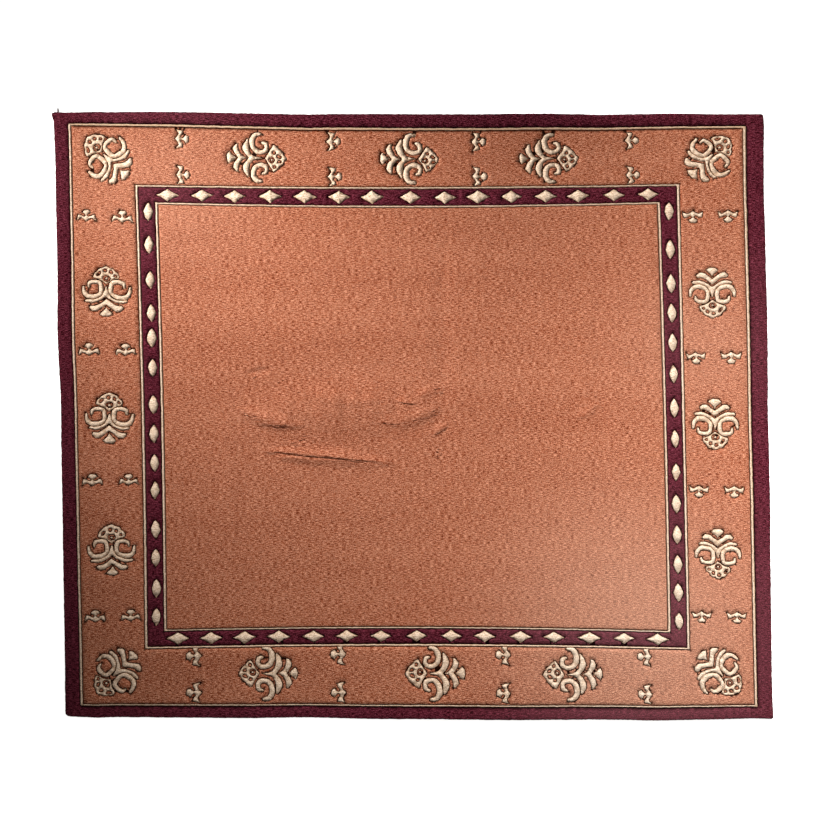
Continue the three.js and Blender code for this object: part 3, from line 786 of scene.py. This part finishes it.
far_right, far_left, near_left, near_right = edge_cuts
overcast_edge("left_overcast_edge", LEFT + BUNDLE_INSET, near_left, far_left)
overcast_edge("right_overcast_edge", RIGHT - BUNDLE_INSET, near_right, far_right)

# ---- Loose tufts ------------------------------------------------------------------------------------
# Burgundy wool that has worked loose from the far left corner: a matted knob and a fibre that sticks out.
# Each runs from u0, v0 to u1, v1 on the chart. high is how far its middle lies above the floor.
Tuft = namedtuple("Tuft", "u0 v0 u1 v1 wide high")
TUFTS = [
    Tuft(-1483, 1238, -1488, 1264, 14, 7.5),  # the knob
    Tuft(-1467, 1258, -1467, 1290, 8, 6),  # the fibre
]
TUFT_SIDES = 8
TUFT_RINGS = 7
# Over what length a tuft is lumpy, and how much, as a share of its width
LUMP_LONG = 4
LUMPS = 1 / 8
tufts = bmesh.new()
for tuft in TUFTS:
    start, end = Vector((tuft.u0, tuft.v0, 0)), Vector((tuft.u1, tuft.v1, 0))
    long = (end - start).length + tuft.wide
    grown = bmesh.ops.create_uvsphere(tufts, u_segments=TUFT_SIDES, v_segments=TUFT_RINGS, radius=1)["verts"]
    bmesh.ops.scale(tufts, verts=grown, vec=(tuft.wide / 2, tuft.wide / 2, long / 2))
    for vert in grown:
        vert.co += noise.noise_vector(vert.co / LUMP_LONG) * tuft.wide * LUMPS
    turn = Vector((0, 0, 1)).rotation_difference(end - start).to_matrix()
    bmesh.ops.rotate(tufts, verts=grown, matrix=turn)
    bmesh.ops.translate(tufts, verts=grown, vec=(start + end) / 2 + Vector((0, 0, tuft.high)))
laid("loose_tufts", tufts, [burgundy])

# ---- Guard lines ------------------------------------------------------------------------------------
# Three thin cream lines between the bands, about four knots wide at the sides and two or three at the ends,
# knotted in the same wool as the motifs.
GUARD_NAMES = ("outer_guard_line", "band_guard_line", "field_guard_line")
for ring, guard_name in zip(GUARD_RINGS, GUARD_NAMES):
    carved_pile(
        guard_name,
        rim=box_loop(ring_box(ring, 1), RIM_STEP),
        hole=box_loop(ring_box(ring, -1), RIM_STEP),
        motifs=[],
        ground=cream,
        spacing=30,
    )

# ---- Border with palmettes and sprigs ---------------------------------------------------------------
# Terracotta like the field, 24 to 27 cm wide, with cream palmettes that follow each other clockwise and two
# small sprigs between each pair. The motifs are knotted in and then carved round, each a little different.
MOTIF_STEP = 5.0
# How far a stroke's round ends reach past its ends, in half widths
END_REACH = 0.8


def smooth(rows, steps):
    """Points on a smooth curve through the rows, a Catmull-Rom spline."""
    rows = np.array(rows, float)
    ends = np.vstack([2 * rows[0] - rows[1], rows, 2 * rows[-1] - rows[-2]])
    points = []
    for a, b, c, d in zip(ends, ends[1:], ends[2:], ends[3:]):
        bend, twist = 2 * a - 5 * b + 4 * c - d, 3 * b - a - 3 * c + d
        for t in np.arange(steps) / steps:
            points.append(0.5 * (2 * b + (c - a) * t + bend * t**2 + twist * t**3))
    return np.array(points + [rows[-1]])


def outline(*arcs, steps=4):
    """A closed outline from smooth arcs that meet in corners, counter-clockwise."""
    parts = [smooth(arc, steps)[:-1] if len(arc) > 2 else np.array(arc[:1], float) for arc in arcs]
    return counter_clockwise(np.concatenate(parts))


def counter_clockwise(loop):
    """The loop, turned round where it runs clockwise."""
    ahead = np.roll(loop, -1, axis=0)
    area = np.sum(loop[:, 0] * ahead[:, 1] - ahead[:, 0] * loop[:, 1])
    return loop if area > 0 else loop[::-1]


def mirrored(rows):
    """The rows on the other side of x = 0."""
    return [(-x, *rest) for x, *rest in rows]


def both_sides(*arcs):
    """An outline that is the same on both sides of x = 0, from the arcs of its right half, top to bottom."""
    back = [mirrored(arc)[::-1] for arc in arcs[::-1]]
    return outline(*arcs, *back)


def stroke(rows, steps=4):
    """The outline of a stroke along a smooth line through the rows, as wide as each says, with round ends."""
    route = smooth(rows, steps)
    middle, half = route[:, :2], route[:, 2:] / 2
    along = np.gradient(middle, axis=0)
    across = np.column_stack([-along[:, 1], along[:, 0]]) / np.hypot(*along.T)[:, None]
    left, right = middle + across * half, middle - across * half
    tip = middle[-1] + along[-1] / np.hypot(*along[-1]) * half[-1] * END_REACH
    tail = middle[0] - along[0] / np.hypot(*along[0]) * half[0] * END_REACH
    return counter_clockwise(np.vstack([tail, left, tip, right[::-1]]))


def spun(points, degrees):
    """The points turned counter-clockwise round the middle of a design."""
    turned = math.radians(degrees)
    spin = np.array([[math.cos(turned), -math.sin(turned)], [math.sin(turned), math.cos(turned)]])
    return points @ spin.T


def oval(x, y, wide, tall, turn, points=14):
    """An oval outline round x, y."""
    angles = np.linspace(0, 2 * np.pi, points, endpoint=False)
    rim = np.column_stack([wide * np.cos(angles), tall * np.sin(angles)]) / 2
    return spun(rim, turn) + (x, y)


# A palmette, head towards +V, in mm from its middle: a lotus blossom with an eye and petals, two cloud
# scrolls, a stem with two pairs of leaves, and a fan. Each row has x and y, then in a scroll the width, and
# in an eye or petal the width, height and turn. Each leaf is an upper edge, a tip and a lower edge.
Blossom = namedtuple("Blossom", "middle wide tall fullness lobes bulge base")
SIDE_PALMETTE = {
    "blossom": Blossom(52, 53, 48, 1.6, 5, 0.06, [(0, 25), (14, 36), (30, 45), (53, 51)]),
    "eye": [(0, 50, 33, 27, 0), (0, 50, 11, 10, 0)],
    "petals": [(-32, 68, 14, 25, -38), (-4, 83, 17, 16, 0), (21, 76, 14, 17, 25), (38, 60, 11, 14, 50)],
    "scroll": [
        (72, 12, 9), (68, 29, 15), (47, 35, 17), (25, 30, 17), (19, 7, 18),
        (23, -18, 18), (46, -29, 20), (73, -29, 20), (90, -13, 17), (94, 12, 10),
    ],
    "upper leaves": [
        [(2, 15), (6, 1), (12, -14), (26, -29), (48, -40), (80, -42)],
        [(80, -42), (84, -47), (78, -53)],
        [(78, -53), (52, -56), (23, -44), (0, -28)],
    ],
    "lower leaves": [
        [(0, -38), (22, -55), (42, -66), (61, -67)],
        [(61, -67), (66, -76), (54, -89)],
        [(54, -89), (37, -88), (16, -73), (0, -62)],
    ],
    "fan": [[(0, -70), (7, -82), (19, -93), (26, -101)], [(26, -101), (14, -109), (0, -110)]],
}
END_PALMETTE = {
    "blossom": Blossom(50, 53, 51, 1.25, 5, 0.03, [(0, 15), (17, 27), (34, 38), (53, 49)]),
    "eye": [(6, 43, 27, 27, 0), (6, 44, 9, 9, 0)],
    "petals": [(-23, 53, 14, 16, 20), (-9, 76, 15, 23, -25), (13, 78, 14, 20, 25), (34, 56, 15, 14, 0)],
    "scroll": [
        (65, 2, 9), (59, 18, 17), (40, 21, 18), (28, 6, 18), (30, -17, 19),
        (48, -34, 22), (75, -36, 23), (95, -22, 19), (99, 1, 11),
    ],
    "upper leaves": [
        [(1, 4), (5, -18), (11, -36), (27, -48), (52, -53), (79, -53)],
        [(79, -53), (80, -59), (62, -74)],
        [(62, -74), (42, -80), (22, -72), (0, -52)],
    ],
    "lower leaves": [
        [(0, -60), (9, -79), (24, -90), (41, -96), (60, -97)],
        [(60, -97), (57, -108), (40, -121)],
        [(40, -121), (22, -115), (10, -106), (0, -98)],
    ],
    "fan": [[(0, -106), (8, -118), (18, -129), (24, -136)], [(24, -136), (13, -144), (0, -146)]],
}


def blossom_outline(blossom):
    """A scalloped dome on a pointed base. fullness is 1 for straight flanks and 2 for a half-round."""
    angles = np.linspace(0, np.pi, 31)
    cosine, sine = np.cos(angles), np.sin(angles)
    out = (np.abs(cosine) ** blossom.fullness + sine**blossom.fullness) ** (-1 / blossom.fullness)
    out *= 1 + blossom.bulge * np.abs(np.sin(blossom.lobes * angles))
    rim = np.column_stack([blossom.wide * out * cosine, blossom.middle + blossom.tall * out * sine])
    base = smooth(blossom.base, 4)
    back = smooth(mirrored(blossom.base)[::-1], 4)
    return counter_clockwise(np.vstack([base[:-1], rim, back[1:-1]]))


def palmette(design):
    """The closed loops of a palmette."""
    return [
        blossom_outline(design["blossom"]),
        *[oval(*hole) for hole in design["eye"] + design["petals"]],
        stroke(design["scroll"]),
        stroke(mirrored(design["scroll"])),
        both_sides(*design["upper leaves"]),
        both_sides(*design["lower leaves"]),
        both_sides(*design["fan"]),
    ]


# The small sprig, head towards +V: two spread leaves with a fan on a thin neck
SPRIG = [
    [(0, 23), (10, 21), (18, 11)],
    [(18, 11), (8, 5), (3, -1)],
    [(3, -1), (10, -7), (24, 0), (35, 2)],
    [(35, 2), (38, -7), (41, -22)],
    [(41, -22), (25, -14), (13, -18), (0, -26)],
]
sprig = [both_sides(*SPRIG)]

# Where the middle of the border lies on each side, and each palmette in it. Its head points turn degrees
# counter-clockwise from +V, and it is stretched by long along its stem and by wide across it.
BORDER = {"far": 1094, "right": 1267, "near": -1095, "left": -1283}
Motif = namedtuple("Motif", "u v turn long wide")
SIDE_PALMETTES = [
    Motif(BORDER["right"], 516, 180, 1, 1),
    Motif(BORDER["right"], -40, 180, 1, 1),
    Motif(BORDER["right"], -588, 180, 1, 1),
    Motif(BORDER["left"], -567, 0, 1, 1),
    Motif(BORDER["left"], -7, 0, 1, 1),
    Motif(BORDER["left"], 531, 0, 1, 1),
    Motif(-1269, BORDER["far"] - 4, 45, 1.08, 1.02),  # in the corners
    Motif(1273, BORDER["far"], -45, 1.08, 1.02),
    Motif(1267, BORDER["near"] + 10, -135, 1.08, 1.02),
    Motif(-1276, BORDER["near"] + 4, 135, 1.08, 1.02),
]
END_PALMETTES = [
    Motif(-617, BORDER["far"], -90, 1, 1),
    Motif(29, BORDER["far"], -90, 1, 1),
    Motif(615, BORDER["far"], -90, 1, 1),
    Motif(621, BORDER["near"], 90, 1, 1),
    Motif(44, BORDER["near"], 90, 1, 1),
    Motif(-656, BORDER["near"], 90, 1, 1),
]
# The pairs of sprigs along each side, each sprig so far from the middle of the border
SPRIG_APART = 74
Pairs = namedtuple("Pairs", "run turn long wide at")
SPRIG_PAIRS = [
    Pairs("far", -90, 1.25, 0.95, (-948, -308, 302, 946)),
    Pairs("right", 180, 1, 1, (840, 243, -322, -852)),
    Pairs("near", 90, 1.25, 0.95, (944, 349, -343, -950)),
    Pairs("left", 0, 1, 1, (-849, -271, 281, 847)),
]


def run_place(run, middles, along, across=0):
    """A place so far along one side of the border or the inner band, across from its middle."""
    middle = middles[run] + across
    return (along, middle) if run in ("far", "near") else (middle, along)


# How much a loop varies in size, how far it moves, how far its line wanders and over what length, and how
# many degrees a motif is turned out of true
LOOP_VARIES = 0.05
LOOP_MOVES = 1
WANDER = 1.7
WANDER_LONG = 16
TURN_VARIES = 1.5


def placed(loops, motif, rng):
    """The loops of a motif, stretched, turned and put in place, each a little different, as by hand."""
    turn = motif.turn + rng.uniform(-TURN_VARIES, TURN_VARIES)
    wavy = rng.uniform(0, 100)
    laid_loops = []
    for loop in loops:
        loop = resampled(loop, MOTIF_STEP / max(motif.long, motif.wide))
        stray = [noise.noise_vector((x / WANDER_LONG, y / WANDER_LONG, wavy)) for x, y in loop]
        wander = np.array(stray)[:, :2]
        middle = loop.mean(0)
        size = rng.uniform(1 - LOOP_VARIES, 1 + LOOP_VARIES)
        moved = (rng.uniform(-LOOP_MOVES, LOOP_MOVES), rng.uniform(-LOOP_MOVES, LOOP_MOVES))
        loop = (middle + (loop - middle) * size + moved + WANDER * wander) * (motif.wide, motif.long)
        laid_loops.append(spun(loop, turn) + (motif.u, motif.v))
    return laid_loops


motif_rng = random.Random(7)
motif_loops = []
for design, motifs in ((SIDE_PALMETTE, SIDE_PALMETTES), (END_PALMETTE, END_PALMETTES)):
    for motif in motifs:
        motif_loops += placed(palmette(design), motif, motif_rng)
for pairs in SPRIG_PAIRS:
    for along in pairs.at:
        for across in (-SPRIG_APART, SPRIG_APART):
            place = run_place(pairs.run, BORDER, along, across)
            motif = Motif(*place, pairs.turn, pairs.long, pairs.wide)
            motif_loops += placed(sprig, motif, motif_rng)

carved_pile(
    "border",
    rim=box_loop(ring_box(1, -1), RIM_STEP),
    hole=box_loop(ring_box(2, 1), RIM_STEP),
    motifs=motif_loops,
    ground=terracotta,
    spacing=15,
)

# ---- Inner band with diamonds -----------------------------------------------------------------------
# Burgundy like the outer band, 6 to 7 cm wide, with a row of cream diamonds down its middle, their tips along
# it. Those of the left and right side are smaller and rounder. fullness rounds a diamond's flanks outwards.
DIAMOND = {"along": 94, "across": 47, "fullness": -0.04}
SIDE_DIAMOND = {"along": 78, "across": 41, "fullness": 0.09}
BAND = {"far": 939, "right": 1094, "near": -950, "left": -1102}
DIAMOND_RUNS = {
    "far": (-1017, -872, -737, -587, -441, -296, -156, 4, 150, 290, 431, 576, 712, 862, 1008),
    "near": (-1013, -873, -733, -589, -444, -305, -160, -10, 135, 275, 425, 565, 715, 860, 1000),
    "left": (869, 728, 577, 436, 330, 204, 48, -78, -203, -319, -485, -606, -737, -858),
    "right": (868, 707, 561, 436, 310, 179, 34, -97, -238, -373, -504, -630, -750, -871),
}


def diamond(along, across, fullness):
    """A diamond with its tips towards +V and -V."""
    half, side, bulge = along / 2, across / 2, 0.5 + fullness
    upper = [(0, half), (side * bulge, half * bulge), (side, 0)]
    lower = [(side, 0), (side * bulge, -half * bulge), (0, -half)]
    return both_sides(upper, lower)


diamond_loops = []
for run, ats in DIAMOND_RUNS.items():
    lengthwise = run in ("far", "near")
    loops = [diamond(**(DIAMOND if lengthwise else SIDE_DIAMOND))]
    for along in ats:
        motif = Motif(*run_place(run, BAND, along), 90 if lengthwise else 0, 1, 1)
        diamond_loops += placed(loops, motif, motif_rng)
carved_pile(
    "inner_band",
    rim=box_loop(ring_box(2, -1), RIM_STEP),
    hole=box_loop(ring_box(3, 1), RIM_STEP),
    motifs=diamond_loops,
    ground=burgundy,
    spacing=16,
)

# ---- Field ------------------------------------------------------------------------------------------
# The plain terracotta middle, one colour of wool in rows of knots that run along the rug. Its dye lots
# change a little from row to row, and its folds left of the middle stand up 1 to 2 cm.
field_box = ring_box(3, -1)
GROOVE_STOPS = np.array([0, *OFFSETS])
FIELD_INSET = 8.0

# Where the pile parts between two rows of knots, at the foot of a fold or where it was ruffled, one looks
# down to its roots. A parting runs from x0, y0 to x1, y1 on the floor, and steps from row to row on its way.
Parting = namedtuple("Parting", "x0 y0 x1 y1 deep")
PARTINGS = [
    Parting(-600, -152, -480, -168, 5),
    Parting(-560, -162, -300, -184, 6.5),
    Parting(-330, -180, -205, -190, 6.5),
    Parting(-290, -193, -180, -199, 4),
    Parting(-225, -190, -90, -212, 5.5),
    Parting(-680, -17, -610, -28, 4),
    Parting(-605, -40, -520, -43, 5),
    Parting(-585, -50, -535, -52, 6.5),
    Parting(-550, -117, -420, -119, 4),
    Parting(-522, -102, -432, -104, 5.5),
    Parting(-480, -88, -425, -92, 4),
    Parting(-72, 58, 12, 43, 7.5),
    Parting(-145, -34, -50, -39, 7),
    Parting(-70, -38, 100, -4, 4),
    Parting(60, -22, 108, 22, 6),
    Parting(76, -90, 144, -56, 6),
    Parting(-676, 152, -652, 168, 7.5),
]
# Places that were ruffled: where, how wide and tall, and how many short partings each has
Ruffle = namedtuple("Ruffle", "x y wide tall count")
RUFFLES = [
    Ruffle(112, 110, 40, 34, 16),
    Ruffle(98, 12, 30, 46, 14),
    Ruffle(112, -166, 28, 60, 14),
    Ruffle(-685, -4, 50, 24, 8),
    Ruffle(-557, 143, 26, 16, 5),
]
RUFFLE_LONG = 13
RUFFLE_DEEP = 6
ruffle_rng = random.Random(11)
for ruffle in RUFFLES:
    for _ in range(ruffle.count):
        x = ruffle.x + ruffle_rng.uniform(-0.5, 0.5) * ruffle.wide
        y = ruffle.y + ruffle_rng.uniform(-0.5, 0.5) * ruffle.tall
        PARTINGS.append(Parting(x - RUFFLE_LONG / 2, y, x + RUFFLE_LONG / 2, y, RUFFLE_DEEP))
ROW_APART = 4.2
PARTING_WIDE = 1.7
PARTING_REACH = 8.0
# A parting is open by this share on the whole, and by so much more or less over so many mm
PARTING_OPEN = 0.45
OPEN_VARIES = 2.4
OPEN_LONG = 16
# The cells of the field's grid over the folds and elsewhere, in mm
FIELD_CELL = {"small": 4.2, "large": 15}


def parted(x, y):
    """How deep the pile is parted at places on the floor, and whether a parting is near."""
    depth = np.zeros_like(x)
    near = np.zeros(len(x), bool)
    for i, parting in enumerate(PARTINGS):
        share = (x - parting.x0) / (parting.x1 - parting.x0)
        middle = parting.y0 + (parting.y1 - parting.y0) * share
        row = np.round(middle / ROW_APART) * ROW_APART
        beside_it = (share > 0) & (share < 1)
        near |= beside_it & (np.abs(y - row) < PARTING_REACH)
        broken = [noise.noise((at / OPEN_LONG, i, 0)) if here else 0 for at, here in zip(x, beside_it)]
        open_wide = np.clip(PARTING_OPEN + OPEN_VARIES * np.array(broken), 0, 1)
        open_wide *= np.sqrt(np.sin(np.pi * np.clip(share, 0, 1)))
        depth = np.maximum(depth, parting.deep * open_wide * np.exp(-(((y - row) / PARTING_WIDE) ** 2)))
    return depth, near


field_stops = []
for low, high, folded in ((*field_box[:2], FOLDED_U), (*field_box[2:], FOLDED_V)):
    inner = grid_stops(low + FIELD_INSET, high - FIELD_INSET, folded, **FIELD_CELL)
    field_stops.append(np.concatenate([low + GROOVE_STOPS, inner, high - GROOVE_STOPS[::-1]]))
field_shape = charted_grid(*field_stops)
charted = np.array([vert.co for vert in field_shape.verts])
near = parted(*lay(charted[:, 0], charted[:, 1]))[1]
for vert, is_near in zip(field_shape.verts, near):
    vert.tag = bool(is_near)
parting_faces = [face for face in field_shape.faces if any(vert.tag for vert in face.verts)]
parting_edges = {line for face in parting_faces for line in face.edges}
bmesh.ops.subdivide_edges(field_shape, edges=list(parting_edges), cuts=2, use_grid_fill=True)
charted = np.array([vert.co for vert in field_shape.verts])
depths = parted(*lay(charted[:, 0], charted[:, 1]))[0]
for vert, depth in zip(field_shape.verts, depths):
    u, v = vert.co.x, vert.co.y
    gap = min(u - field_box[0], field_box[1] - u, v - field_box[2], field_box[3] - v)
    vert.co.z = PILE_TOP - max(groove(gap), depth)
laid("field", skirted(field_shape), [terracotta])
